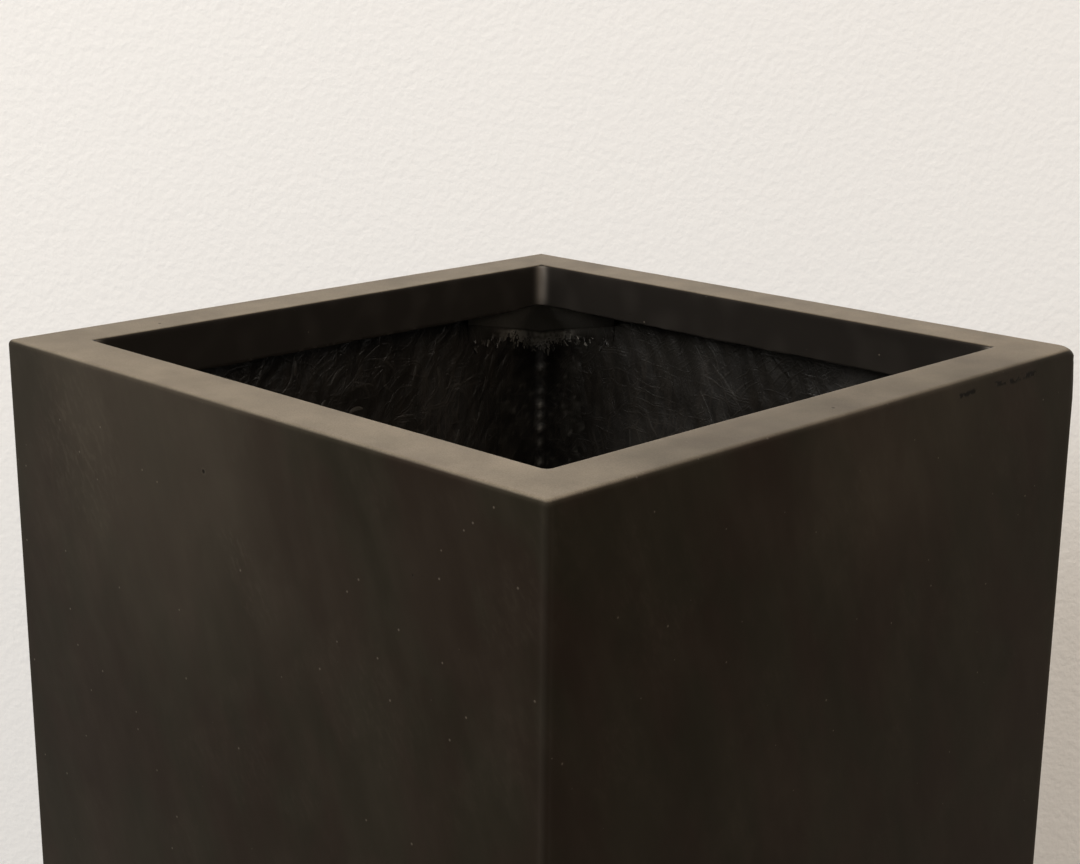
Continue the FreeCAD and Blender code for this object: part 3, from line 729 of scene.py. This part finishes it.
def raw_depth(along, height, side):
    """How far the raw laminate stands in from the cavity's true face, and its ridges of mat."""
    spot = Vector((along, height, side * 3.3))
    hills = noise.noise(spot / 0.055)
    lumps = noise.noise(spot / 0.013) + 0.5 * noise.noise(spot / 0.006)
    if SIDES[side] == "left":
        drawn = along * 0.52 + height * 0.85 + 0.006 * noise.noise(spot / 0.023 + Vector((5, 1, 2)))
        lean = along * 0.85 - height * 0.52 + 0.006 * noise.noise(spot / 0.020)
        ridges = noise.noise(Vector((lean / 0.0046, drawn / 0.021, side * 5.1))) * 1.5
    else:
        lean = along + 0.42 * height + 0.004 * noise.noise(spot / 0.03)
        ridges = noise.noise(Vector((lean / 0.0085, height / 0.040, side * 5.1)))
        ridges += 0.4 * noise.noise(Vector((lean / 0.003, height / 0.02, side)))
    return max(0.0001, 0.0013 + 0.00050 * hills + 0.00026 * lumps + 0.00050 * ridges), ridges


def strand_path(chance, steps, length, curl, heading):
    """Points of a strand that wanders as it goes, from (0, 0)."""
    x = y = 0.0
    points = [(x, y)]
    turn = chance.gauss(0, curl)
    for _ in range(steps):
        heading += turn * length / steps + chance.gauss(0, curl * 0.1) * length / steps
        x += math.cos(heading) * length / steps
        y += math.sin(heading) * length / steps
        points.append((x, y))
    return points


def on_strand(start, path, share, across, width):
    """Place on a strand from its start: (along, height) at a share of its length, and across it."""
    last = len(path) - 1
    step = round(share * last)
    ahead, behind = path[min(step + 1, last)], path[max(step - 1, 0)]
    run = Vector((ahead[0] - behind[0], ahead[1] - behind[1])).normalized()
    along = start[0] + path[step][0] - run.y * across * width
    return along, start[1] + path[step][1] + run.x * across * width


def ribbons(bm, count, steps, lay_out, layers):
    """Loose strands: count ribbons, two faces wide, each laid by lay_out(strand, share of its
    length, share across it), which gives the place, the place on the sheet and how bare it is."""
    lay_mark, bare_and_light_mark = layers
    row = steps + 1
    made = bmesh.ops.create_grid(bm, x_segments=count * row - 1, y_segments=2, size=0.5)["verts"]
    strand_of = {}
    for vert in made:
        column = round((vert.co.x + 0.5) * (count * row - 1))
        strand, step = divmod(column, row)
        strand_of[vert] = strand
        vert.co, vert[lay_mark], vert[bare_and_light_mark] = lay_out(strand, step / steps, round(vert.co.y * 2))
    joins = {f for v in made for f in v.link_faces if len({strand_of[w] for w in f.verts}) > 1}
    bmesh.ops.delete(bm, geom=list(joins), context="FACES_ONLY")
    left_over = {e for v in made for e in v.link_edges if not e.link_faces}
    bmesh.ops.delete(bm, geom=list(left_over), context="EDGES")


for side, name in enumerate(SIDES):
    curly = name == "left"
    pitch = 0.0019 if name in ("back", "left") else 0.0027
    top_rows = [RAW_TOP - i * pitch for i in range(round(FINE_DEPTH / pitch))]
    low = top_rows[-1]
    low_rows = [low + (RAW_FOOT - low) * (i + 1) / LOW_ROWS for i in range(LOW_ROWS)]
    bm = run_round([(CAVITY_HALF, z, CAVITY_ROUND) for z in top_rows + low_rows], leans(pitch), 1)
    lay_mark = bm.verts.layers.float_vector.new("lay")
    bare_and_light_mark = bm.verts.layers.float.new("bare_and_painted_light")
    for vert in bm.verts:
        vert[lay_mark] = (vert.co.x + side, vert.co.z, 0.0)
        depth, ridge = raw_depth(vert.co.x, vert.co.z, side)
        thinned = 0.5 + 0.9 * wobble(vert.co, 0.045, 9 + side)
        vert[bare_and_light_mark] = (0.034 if curly else 0.030) * max(0.0, ridge) ** 1.2 * ramp(thinned, 1)
        # painted light: towards the top the back, front and right walls are painted paler, standing in for
        # the light that comes in at the mouth
        painted_light_near_top = ramp(vert.co.z - 0.825, 0.05)
        vert[bare_and_light_mark] += (0.003 if curly else 0.050) * painted_light_near_top * ramp(0.6 + thinned, 1)
        vert.co -= outward(vert.co) * depth
    face_inward(bm)
    chance = random.Random(11 + side)
    loose = []
    for _ in range(WALL_STRANDS[name]):
        length = chance.uniform(0.009, 0.024) if curly else chance.uniform(0.014, 0.040)
        heading = chance.gauss(math.pi * 0.33, 0.5) if curly else chance.gauss(math.pi / 2 + 0.35, 0.25)
        if chance.random() < 0.25:
            heading = chance.uniform(0, math.pi)
        spread = chance.random() ** 1.8
        start_along = chance.uniform(-0.185, 0.185)
        start = (start_along, 0.880 - 0.80 * spread * (1.0 if chance.random() < 0.35 else 0.3))
        path = strand_path(chance, STRAND_STEPS, length, 50 if curly else 12, heading)
        bare_and_painted_light = 0.038 * chance.random() ** 2 + (0.10 if chance.random() < 0.02 else 0.0)
        loose.append((start, path, chance.uniform(0.0007, 0.0016), chance.uniform(0.0001, 0.0003), bare_and_painted_light))

    def lay_out(strand, share, across):
        start, path, width, lift, bare_and_painted_light = loose[strand]
        taper = width * (0.35 + 0.65 * math.sin(math.pi * min(max(share, 0.08), 0.92)))
        along, height = on_strand(start, path, share, across, taper)
        along = min(max(along, -0.187), 0.187)
        height = min(max(height, 0.04), 0.888)
        rise = lift * math.sin(math.pi * share) ** 0.5 if 0 < share < 1 else 0.0
        rise += 0.00011 if across == 0 else -0.0001
        depth = raw_depth(along, height, side)[0] + rise
        return Vector((along, CAVITY_HALF - depth, height)), (along + side, height, 0.0), bare_and_painted_light

    ribbons(bm, len(loose), STRAND_STEPS, lay_out, (lay_mark, bare_and_light_mark))
    carry_round(bm, bm.verts, side)
    made_piece(bm, "raw_wall_" + name, laminate, sharp=180)


# ---------------------------------------------------------------- rim joint tapes
# A length of mat laid over the joint between the rim and each wall, up inside the hollow rim.
tape_outline = [(CAVITY_HALF - d / 1000, z / 1000, CAVITY_ROUND) for d, z in (
    (0.2, 869.5), (1.0, 870.6), (1.5, 873), (1.5, 877), (1.5, 881), (1.6, 885), (1.9, 889), (3.0, 892.2),
    (5.0, 893.3), (8.0, 893.5), (11, 893.5), (13.4, 893.7), (14.0, 894.8),
)]
for side, name in enumerate(SIDES):
    bm = run_round(tape_outline, leans(0.004), 1)
    lay_mark = bm.verts.layers.float_vector.new("lay")
    for vert in bm.verts:
        vert[lay_mark] = (vert.co.x + side + 7, vert.co.z + vert.co.y, 0.0)
        vert.co.y -= 0.0003 * wobble(vert.co, 0.008, 20 + side)
        vert.co.z += 0.0009 * wobble(vert.co, 0.012, 30 + side) * (1 if vert.co.z < 0.874 else 0.25)
    face_inward(bm)
    carry_round(bm, bm.verts, side)
    made_piece(bm, "rim_tape_" + name, laminate, replaces=["rim_joint_tape_" + name])


# ---------------------------------------------------------------- corner gussets
# A strip of mat across each corner, from the back of the lip to both walls and a little way down
# them. It is smooth with resin where it bridges the hollow rim, and painted paler there than its resin
# alone would make it, more on one half than the other: painted fill light in the shade under the lip.
# Its cut end is ragged.
CORNERS = ("back_right", "back_left", "front_left", "front_right")
GUSSET_REACH = 0.0636        # along lip and wall, from their corners
GUSSET_END = 0.8475          # where the strip ends on the walls
GUSSET_HANG = 0.009          # how much further down it hangs in the corner
END_STRANDS = 190            # that hang out of its end
END_STEPS = 5


def along_corner(along, height, half, radius):
    """Place on a rounded corner at back right: the signed way along it, back wall first."""
    turn = math.pi * radius / 4
    middle = half - radius
    if abs(along) <= turn:
        angle = math.pi / 4 - along / radius
        return Vector((middle + radius * math.cos(angle), middle + radius * math.sin(angle), height))
    straight = middle - (abs(along) - turn)
    return Vector((straight, half, height)) if along < 0 else Vector((half, straight, height))


def wall_behind(along, height, corner):
    """How far the raw wall behind a corner's strip stands in, at that place on the strip."""
    straight = CAVITY_HALF - abs(along)
    if along < 0:
        return raw_depth(straight, height, corner)[0]
    return raw_depth(-straight, height, (corner + 3) % 4)[0]


def gusset_end(along):
    return GUSSET_END - GUSSET_HANG * bell(along, 0.017)


def on_bridge(along, strip, share, bend_height, corner):
    """Place on the strip where it bridges the hollow rim, from the lip to the bend at the wall."""
    at_lip = along_corner(along, LIP_FOOT + 0.0009, LIP_BACK_HALF + 0.0001, LIP_BACK_CORNER)
    at_wall = along_corner(along, bend_height, CAVITY_HALF - 0.0022, 0.016)
    arch = math.sin(math.pi * share)
    spot = at_lip.lerp(at_wall, share)
    spot.z += 0.0016 * arch
    spot.z += 0.0004 * wobble(spot, 0.012, 52 + corner) * arch
    return spot


for corner, name in enumerate(CORNERS):
    bm = bmesh.new()
    bmesh.ops.create_grid(bm, x_segments=90, y_segments=34, size=0.5)
    lay_mark = bm.verts.layers.float_vector.new("lay")
    bare_and_light_mark = bm.verts.layers.float.new("bare_and_painted_light")
    for vert in bm.verts:
        strip, way = vert.co.x * 2, vert.co.y + 0.5
        along = strip * GUSSET_REACH
        spot = Vector((along, corner, 0))
        end = gusset_end(along) + (0.0030 * wobble(spot, 0.009, 50) + 0.0022 * wobble(spot, 0.003, 51))
        bend_height = LIP_FOOT - 0.024 + 0.013 * abs(strip)
        if way < 0.5:
            share = way / 0.5
            vert.co = on_bridge(along, strip, share, bend_height, corner)
        else:
            share = (way - 0.5) / 0.5
            height = bend_height + (end - bend_height) * share
            thick = 0.0022 - 0.0019 * share ** 3 + 0.0003 * wobble(Vector((along, height, corner)), 0.007, 53)
            thick *= min(1.0, (1 - abs(strip)) / 0.06 + 0.15)
            thick = max(thick, wall_behind(along, height, corner) + 0.0006 * (1 - share ** 3))
            vert.co = along_corner(along, height, CAVITY_HALF - max(0.0003, thick), 0.016 - 0.004 * share)
        vert[lay_mark] = (along + corner * 2, vert.co.z, 0.0)
        spot = Vector((along, vert.co.z, corner))
        if way < 0.5:
            # resin, and painted fill light: the bridge is paler in the middle and more on one half, where the
            # lip shades it
            resin_and_painted_fill = 0.62 * (1 - 0.7 * strip ** 2) * (1 - 0.6 * strip)
            vert[bare_and_light_mark] = max(0.0, resin_and_painted_fill + 0.10 * wobble(spot, 0.010, 56))
        else:
            glassy = max(0.0, 0.42 + 0.45 * wobble(spot, 0.0060, 54) + 0.45 * wobble(spot, 0.0024, 55))
            in_corner = math.exp(-((along + 0.003) / 0.028) ** 4)
            frayed = 2.0 * in_corner * glassy * min(1.0, share / 0.25)
            vert[bare_and_light_mark] = 0.14 * (1 - share) * (1 - strip ** 2) + frayed
    face_inward(bm)
    chance = random.Random(40 + corner)
    ends = []
    for _ in range(END_STRANDS):
        near = chance.random() < 0.55
        at = chance.gauss(0, 0.016) if near else chance.uniform(-0.060, 0.060)
        length = chance.uniform(0.0015, 0.0045)
        heading = chance.gauss(-math.pi / 2, 0.9)
        low = gusset_end(at) + chance.gauss(0.0025, 0.0022)
        bare_and_painted_light = 0.9 * chance.uniform(0.1, 1.0) ** 1.5
        bare_and_painted_light *= 1.0 if abs(at) < 0.026 or chance.random() < 0.10 else 0.22
        path = strand_path(chance, END_STEPS, length, 60, heading)
        ends.append(((at, low), path, chance.uniform(0.0006, 0.0013), chance.uniform(0.0001, 0.0009), bare_and_painted_light))

    def lay_out(strand, share, across):
        start, path, width, lift, bare_and_painted_light = ends[strand]
        along, height = on_strand(start, path, share, across, width * (1.0 - 0.6 * share))
        depth = wall_behind(along, height, corner) + 0.0003 + lift * share + (0.0002 if across == 0 else 0.0)
        spot = along_corner(along, height, CAVITY_HALF - depth, 0.012)
        return spot, (along + corner * 2, height, 0.0), bare_and_painted_light

    ribbons(bm, len(ends), END_STEPS, lay_out, (lay_mark, bare_and_light_mark))
    carry_round(bm, bm.verts, corner)
    made_piece(bm, "gusset_" + name, laminate, replaces=["corner_gusset_" + name], sharp=180)


# ---------------------------------------------------------------- corner tapes
# A tape of mat up each inside corner over a bead of resin, which has run and set in drops. The
# drops are painted pale, a painted glint on each. The tape's edges are feathered into the walls.
TAPE_LEG = 0.046
TAPE_FOOT = 0.063
TAPE_HEAD = 0.843
RESIN_DROPS = (              # heights and sizes of the drops that the photograph shows, at the back left
    (0.8235, 0.6), (0.807, 0.35), (0.7975, 1.0), (0.790, 0.5), (0.7815, 0.9), (0.771, 0.4), (0.757, 0.55),
)
for corner, name in enumerate(CORNERS):
    bm = bmesh.new()
    bmesh.ops.create_grid(bm, x_segments=44, y_segments=250, size=0.5)
    lay_mark = bm.verts.layers.float_vector.new("lay")
    bare_and_light_mark = bm.verts.layers.float.new("bare_and_painted_light")
    chance = random.Random(70 + corner)
    seen = name == "back_left"
    highest = 0.75 if seen else 0.83
    drops = list(RESIN_DROPS) if seen else []
    drops += [(chance.uniform(0.08, highest), chance.uniform(0.2, 0.9)) for _ in range(26)]
    for vert in bm.verts:
        strip, way = vert.co.x * 2, vert.co.y + 0.5
        height = TAPE_FOOT + (TAPE_HEAD - TAPE_FOOT) * (1 - (1 - way) ** 1.35)
        spot = Vector((strip * TAPE_LEG, height, corner))
        leg = TAPE_LEG + 0.009 * wobble(spot, 0.030, 80) + 0.004 * wobble(spot, 0.008, 81)
        along = strip * leg
        feather = min(1.0, (1 - abs(strip)) / 0.30)
        thick = 0.0002 + 0.0019 * feather + 0.0004 * feather * wobble(spot, 0.011, 82)
        thick += 0.0002 * wobble(spot, 0.005, 83)
        bead = bell(along, 0.0019)
        run = 0.0004 + 0.0004 * wobble(Vector((0, height, corner)), 0.012, 84)
        swell_and_glint = max(size * bell(height - drop, 0.0021) for drop, size in drops)
        thick += bead * (run + 0.0015 * swell_and_glint)
        vert.co = along_corner(along, height, CAVITY_HALF - thick, LIP_BACK_CORNER)
        vert[lay_mark] = (along + corner * 2 + 0.5, height, 0.0)
        blotches = 0.05 * max(0.0, 0.2 + wobble(spot, 0.009, 85))
        blotches += 0.35 * max(0.0, wobble(spot, 0.0042, 86) - 0.30)
        # the resin drops are painted pale as a painted glint
        vert[bare_and_light_mark] = max(bead ** 1.5 * swell_and_glint, feather * blotches)
    face_inward(bm)
    carry_round(bm, bm.verts, corner)
    made_piece(bm, "tape_" + name, laminate, replaces=["corner_tape_" + name], sharp=180)


# ---------------------------------------------------------------- floor panel
# A flat laminated board let in above the walls' lower edge, with one drain hole bored through.
FLOOR_TOP = 0.028
DRAIN_RADIUS = 0.0125
PANEL_HALF = 0.1953
PANEL_CORNER = 0.0058


def floor_corner(half):
    """Round at the drain hole, square at the walls."""
    share = min(1.0, (half - DRAIN_RADIUS) / 0.05)
    return half * (1 - share) + PANEL_CORNER * share


by_drain = [DRAIN_RADIUS + 0.0003]
floor_rows = [0.0133, 0.0145, 0.0165, 0.0195] + [0.0225 + 0.0048 * i for i in range(36)]
floor_outline = [(DRAIN_RADIUS, FLOOR_TOP - 0.0006, DRAIN_RADIUS)]
floor_outline += [(half, FLOOR_TOP, floor_corner(half)) for half in by_drain + floor_rows]
floor_outline += [(PANEL_HALF, FLOOR_TOP, PANEL_CORNER), (PANEL_HALF, FLOOR_UNDER, PANEL_CORNER)]
floor_outline += [(half, FLOOR_UNDER, floor_corner(half)) for half in reversed(by_drain + floor_rows[::2])]
floor_outline += [(DRAIN_RADIUS, z, DRAIN_RADIUS) for z in (FLOOR_UNDER + 0.0006, 0.024, FLOOR_TOP - 0.0006)]
bm = run_round(floor_outline, leans(0.006))
bmesh.ops.recalc_face_normals(bm, faces=bm.faces)
lay_mark = bm.verts.layers.float_vector.new("lay")
for vert in bm.verts:
    vert[lay_mark] = (vert.co.x, vert.co.y + 9, 0.0)
    calm = ramp(math.hypot(vert.co.x, vert.co.y) - 0.021, 0.02)
    if vert.co.z > FLOOR_TOP - 0.0001:
        uneven = 0.0003 * wobble(vert.co, 0.05, 90) + 0.00035 * wobble(vert.co, 0.011, 91)
        vert.co.z += calm * uneven - 0.0002 * calm
    elif vert.co.z < FLOOR_UNDER + 0.0001:
        vert.co.z += 0.0002 * calm * (1 + wobble(vert.co, 0.014, 92))
made_piece(bm, "floor_board", laminate, replaces=["floor_panel"])


# ---------------------------------------------------------------- floor tapes
# Mat tape over a resin fillet, where the floor meets each wall.
floor_tape_outline = [(CAVITY_HALF - d / 1000, z / 1000, r / 1000) for d, z, r in (
    (0.1, 64.0, 6), (0.9, 62.4, 6), (1.4, 60, 7), (1.5, 56, 8), (1.5, 52, 9), (1.5, 48, 10), (1.6, 44, 11),
    (1.8, 40.5, 12), (2.6, 37, 12), (4.2, 34, 12), (6.6, 31.6, 12), (9.6, 30.1, 11), (13, 29.6, 10),
    (17, 29.5, 9), (21, 29.5, 8), (25, 29.5, 7), (29, 29.5, 6), (33, 29.3, 6), (34.6, 28.7, 6),
    (35.4, 27.9, 6),
)]
for side, name in enumerate(SIDES):
    bm = run_round(floor_tape_outline, leans(0.004), 1)
    lay_mark = bm.verts.layers.float_vector.new("lay")
    for vert in bm.verts:
        vert[lay_mark] = (vert.co.x + side + 3, vert.co.z - vert.co.y, 0.0)
        top = max(0.0, (vert.co.z - 0.056) / 0.008)
        inner = ramp(0.168 - max(abs(vert.co.x), abs(vert.co.y)), 0.008)
        vert.co.z += 0.0025 * top * wobble(vert.co, 0.012, 100 + side) + 0.00025 * wobble(vert.co, 0.009, 101)
        ragged = 0.0025 * inner * wobble(vert.co, 0.011, 104 + side)
        vert.co -= outward(vert.co) * (ragged + 0.00025 * wobble(vert.co, 0.009, 102))
    face_inward(bm)
    carry_round(bm, bm.verts, side)
    made_piece(bm, "floor_edge_tape_" + name, laminate, replaces=["floor_tape_" + name])


# ---------------------------------------------------------------- drain plug and feet
# Moulded in black rubber: a plug with a grip knob, a flange and a ribbed stem, and four tapered
# feet, each with a well in it for its washer and screw.
RUBBER = (0.011, 0.011, 0.0115)
BLOOM = (0.024, 0.024, 0.025)
RUBBER_DUST = (0.085, 0.068, 0.047)
FOOT_PLACE = 0.162           # of each foot's axis, from the planter's, along both walls

rubber, tree, output = finish("rubber")
place = add(tree, "ShaderNodeTexCoord").outputs["Object"]
facing = add(tree, "ShaderNodeNewGeometry").outputs["Normal"]
bloom = use(tree, "clouding", Place=place, Size=0.012, Stretch=1.0, Low=0.42, High=0.7)
dust = use(tree, "dust", Place=place, Facing=facing, Amount=0.45)
colour = tinted(tree, bloom, RUBBER, BLOOM)
colour = tinted(tree, dust, colour, RUBBER_DUST)
pebble = mottle(tree, place, 1900.0, 2.0)
bumpy = add(tree, "ShaderNodeBump", {"Height": pebble, "Strength": 0.25, "Distance": 0.0002})
surface = add(tree, "ShaderNodeBsdfPrincipled", {
    "Base Color": colour, "Roughness": maths(tree, "MULTIPLY_ADD", bloom, 0.15, 0.5),
    "Normal": bumpy.outputs["Normal"], "Specular IOR Level": 0.4,
})
tree.links.new(surface.outputs["BSDF"], output.inputs["Surface"])


def lathe(bm, outline, steps, x=0.0, y=0.0):
    """Turns an outline of (radius, height) about the planter's axis, and moves that to x, y."""
    points = [bm.verts.new((radius, 0, height)) for radius, height in outline]
    lines = [bm.edges.new(pair) for pair in zip(points, points[1:])]
    bmesh.ops.spin(
        bm, geom=points + lines, cent=(0, 0, 0), axis=(0, 0, 1), angle=2 * math.pi, steps=steps,
        use_merge=True,
    )
    for vert in [v for v in bm.verts if not v.tag]:
        vert.co += Vector((x, y, 0))
        vert.tag = True


def softened(outline, radius):
    """The outline with each inner corner of it rounded off."""
    soft = [outline[0]]
    for before, here, after in zip(outline, outline[1:], outline[2:]):
        a, b, c = Vector(before), Vector(here), Vector(after)
        cut = min(radius, (a - b).length * 0.45, (c - b).length * 0.45)
        start, end = b + (a - b).normalized() * cut, b + (c - b).normalized() * cut
        for t in (0, 0.25, 0.5, 0.75, 1):
            soft.append(tuple(start * (1 - t) ** 2 + b * 2 * t * (1 - t) + end * t ** 2))
    return soft + [outline[-1]]


plug_outline = [(r / 1000, z / 1000) for r, z in (
    (0, 42.6), (8, 42.6), (8, 36.6), (5, 36.6), (5, 31.6), (18, 31.6), (18, 28.1), (12.2, 28.1), (12.2, 23.1),
    (11.3, 23.1), (11.3, 20), (12.2, 20), (10.8, 14), (0, 14),
)]
bm = bmesh.new()
lathe(bm, softened(plug_outline, 0.0012), 72)
bmesh.ops.remove_doubles(bm, verts=bm.verts, dist=1e-6)
bmesh.ops.recalc_face_normals(bm, faces=bm.faces)
made_piece(bm, "plug", rubber, body="plug", replaces=["drain_plug"])

foot_outline = [(r / 1000, z / 1000) for r, z in (
    (2.7, 19.98), (19, 19.98), (17, 0), (9, 0), (9, 12), (2.7, 12), (2.7, 19.98),
)]
bm = bmesh.new()
for x in (-FOOT_PLACE, FOOT_PLACE):
    for y in (-FOOT_PLACE, FOOT_PLACE):
        lathe(bm, softened(foot_outline, 0.0010), 56, x, y)
bmesh.ops.remove_doubles(bm, verts=bm.verts, dist=1e-6)
bmesh.ops.recalc_face_normals(bm, faces=bm.faces)
made_piece(bm, "rubber_feet", rubber, replaces=["feet"])


# ---------------------------------------------------------------- foot screws and washers
# Zinc-plated pan-head screws on plain washers, sunk in the feet.
ZINC_DARK = (0.52, 0.52, 0.50)
ZINC_BRIGHT = (0.66, 0.66, 0.64)
ZINC_DULL = (0.40, 0.39, 0.37)

zinc, tree, output = finish("zinc_steel")
place = add(tree, "ShaderNodeTexCoord").outputs["Object"]
grain = use(tree, "clouding", Place=place, Size=0.0012, Stretch=1.0, Low=0.35, High=0.65)
dull = use(tree, "clouding", Place=place, Size=0.006, Stretch=1.0, Low=0.4, High=0.7)
colour = tinted(tree, grain, ZINC_DARK, ZINC_BRIGHT)
colour = tinted(tree, dull, colour, ZINC_DULL)
surface = add(tree, "ShaderNodeBsdfPrincipled", {
    "Base Color": colour, "Metallic": 1.0, "Roughness": maths(tree, "MULTIPLY_ADD", dull, 0.22, 0.26),
})
tree.links.new(surface.outputs["BSDF"], output.inputs["Surface"])
for name in ("foot_washers", "foot_screws"):
    nodes[name].data.materials.clear()
    nodes[name].data.materials.append(zinc)
